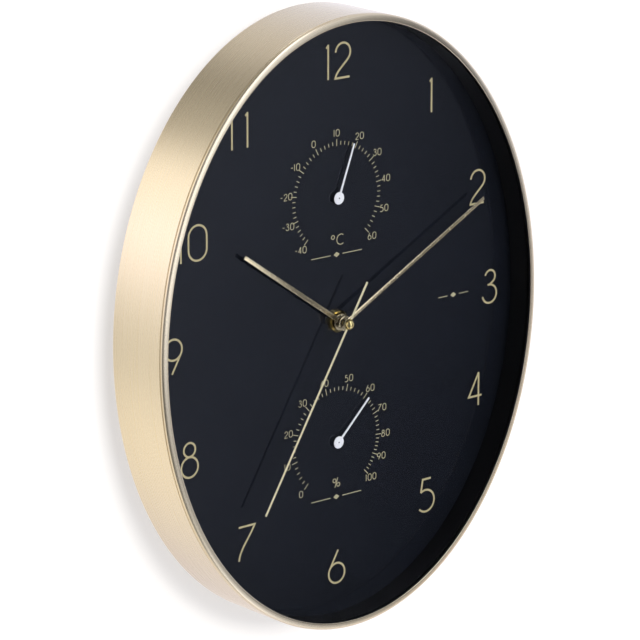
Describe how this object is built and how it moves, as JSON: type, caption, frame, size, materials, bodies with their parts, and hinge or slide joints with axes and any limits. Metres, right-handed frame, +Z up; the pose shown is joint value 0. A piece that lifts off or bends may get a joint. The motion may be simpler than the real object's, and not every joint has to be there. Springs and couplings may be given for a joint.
{
  "type": "thermometer hygrometer clock",
  "caption": "Oval quartz wall clock with a brushed metal band, a dark dial behind glass, baton hands, and a thermometer and a hygrometer set into the dial.",
  "frame": {"origin": "centre of the plane in which the clock touches the wall, behind the hands' axis", "axes": "+Z up to 12 o'clock, +X towards 3 o'clock as the dial is read, -Y out of the wall towards the viewer"},
  "size_m": [0.31, 0.0495, 0.4],
  "materials": {
    "brushed_gold": "champagne gold, brushed round the band",
    "clear_glass": "clear, polished",
    "black_plastic": "satin black",
    "dial_lacquer": "blue-black gloss",
    "gold_ink": "pale gold print",
    "zinc_steel": "zinc plated",
    "grey_plastic": "satin grey",
    "bimetal": "thin rolled strip",
    "turned_brass": "turned and polished",
    "white_paint": "white",
    "white_plastic": "natural white",
    "black_rubber": "matt",
    "magnet": "dark sintered",
    "iron": "bare soft iron",
    "copper_wire": "enamelled copper",
    "board_green": "green board",
    "cell_sleeve": "plain dark sleeve",
    "champagne_metal": "champagne, polished edges"
  },
  "bodies": {
    "clock": {"case_ring": "brushed_gold", "front_glass": "clear_glass", "spacer_ring": "black_plastic", "dial_plate": "dial_lacquer", "hour_numerals": "gold_ink", "thermometer_scale": "gold_ink", "hygrometer_scale": "gold_ink", "back_cover": "black_plastic", "hanger_plate": "zinc_steel", "hanger_screws": "zinc_steel", "thermometer_cup": "grey_plastic", "thermometer_coil": "bimetal", "thermometer_bush": "turned_brass", "hygrometer_cup": "grey_plastic", "hygrometer_coil": "bimetal", "hygrometer_bush": "turned_brass", "movement_front_case": "black_plastic", "movement_mid_plate": "white_plastic", "movement_rear_case": "black_plastic", "rubber_washer": "black_rubber", "collar_nut": "turned_brass", "stator": "iron", "coil_bobbin": "white_plastic", "coil_winding": "copper_wire", "circuit_board": "board_green", "quartz_crystal": "zinc_steel", "battery_cell": "cell_sleeve", "battery_contact_plus": "zinc_steel", "battery_contact_minus": "zinc_steel"},
    "second": {"second_hand": "champagne_metal", "hand_cap": "turned_brass", "seconds_wheel": "white_plastic"},
    "intermediate": {"intermediate_wheel": "white_plastic"},
    "rotor": {"rotor": "magnet"},
    "third": {"third_wheel": "white_plastic"},
    "centre": {"centre_wheel": "white_plastic"},
    "minute": {"minute_hand": "champagne_metal", "minute_tube": "white_plastic"},
    "motion": {"minute_wheel": "white_plastic"},
    "hour": {"hour_hand": "champagne_metal", "hour_wheel": "white_plastic"},
    "setting": {"setting_knob": "grey_plastic"},
    "thermometer_pointer": {"thermometer_needle": "white_paint", "thermometer_arbor": "turned_brass"},
    "hygrometer_pointer": {"hygrometer_needle": "white_paint", "hygrometer_arbor": "turned_brass"}
  },
  "joints": [
    {"name": "second_turn", "type": "hinge", "parent": "clock", "child": "second", "pos_m": [0, -0.02, 0], "axis": [0, 1, 0], "continuous": true},
    {"name": "intermediate_turn", "type": "hinge", "parent": "clock", "child": "intermediate", "pos_m": [0.00438, -0.02, 0.00758], "axis": [0, 1, 0], "continuous": true},
    {"name": "rotor_turn", "type": "hinge", "parent": "clock", "child": "rotor", "pos_m": [0.01001, -0.02, 0.00963], "axis": [0, 1, 0], "continuous": true},
    {"name": "third_turn", "type": "hinge", "parent": "clock", "child": "third", "pos_m": [-0.00779, -0.02, 0.0045], "axis": [0, 1, 0], "continuous": true},
    {"name": "centre_turn", "type": "hinge", "parent": "clock", "child": "centre", "pos_m": [0, -0.02, 0], "axis": [0, 1, 0], "continuous": true},
    {"name": "minute_turn", "type": "hinge", "parent": "clock", "child": "minute", "pos_m": [0, -0.02, 0], "axis": [0, 1, 0], "continuous": true},
    {"name": "motion_turn", "type": "hinge", "parent": "clock", "child": "motion", "pos_m": [0.00705, -0.02, -0.00257], "axis": [0, 1, 0], "continuous": true},
    {"name": "hour_turn", "type": "hinge", "parent": "clock", "child": "hour", "pos_m": [0, -0.02, 0], "axis": [0, 1, 0], "continuous": true},
    {"name": "setting_turn", "type": "hinge", "parent": "clock", "child": "setting", "pos_m": [0.0141, -0.02, -0.00513], "axis": [0, 1, 0], "continuous": true},
    {"name": "thermometer_turn", "type": "hinge", "parent": "clock", "child": "thermometer_pointer", "pos_m": [0, -0.02, 0.0803], "axis": [0, 1, 0], "range_deg": [-155.7, 114.3]},
    {"name": "hygrometer_turn", "type": "hinge", "parent": "clock", "child": "hygrometer_pointer", "pos_m": [0, -0.02, -0.0803], "axis": [0, 1, 0], "range_deg": [-180.6, 89.4]}
  ],
  "couplings": [
    {"joint": "intermediate_turn", "follows": "second_turn", "ratio": -6},
    {"joint": "rotor_turn", "follows": "second_turn", "ratio": 30},
    {"joint": "third_turn", "follows": "second_turn", "ratio": -0.13333},
    {"joint": "centre_turn", "follows": "second_turn", "ratio": 0.016667},
    {"joint": "motion_turn", "follows": "minute_turn", "ratio": -0.33333},
    {"joint": "hour_turn", "follows": "minute_turn", "ratio": 0.083333},
    {"joint": "setting_turn", "follows": "minute_turn", "ratio": 1}
  ]
}
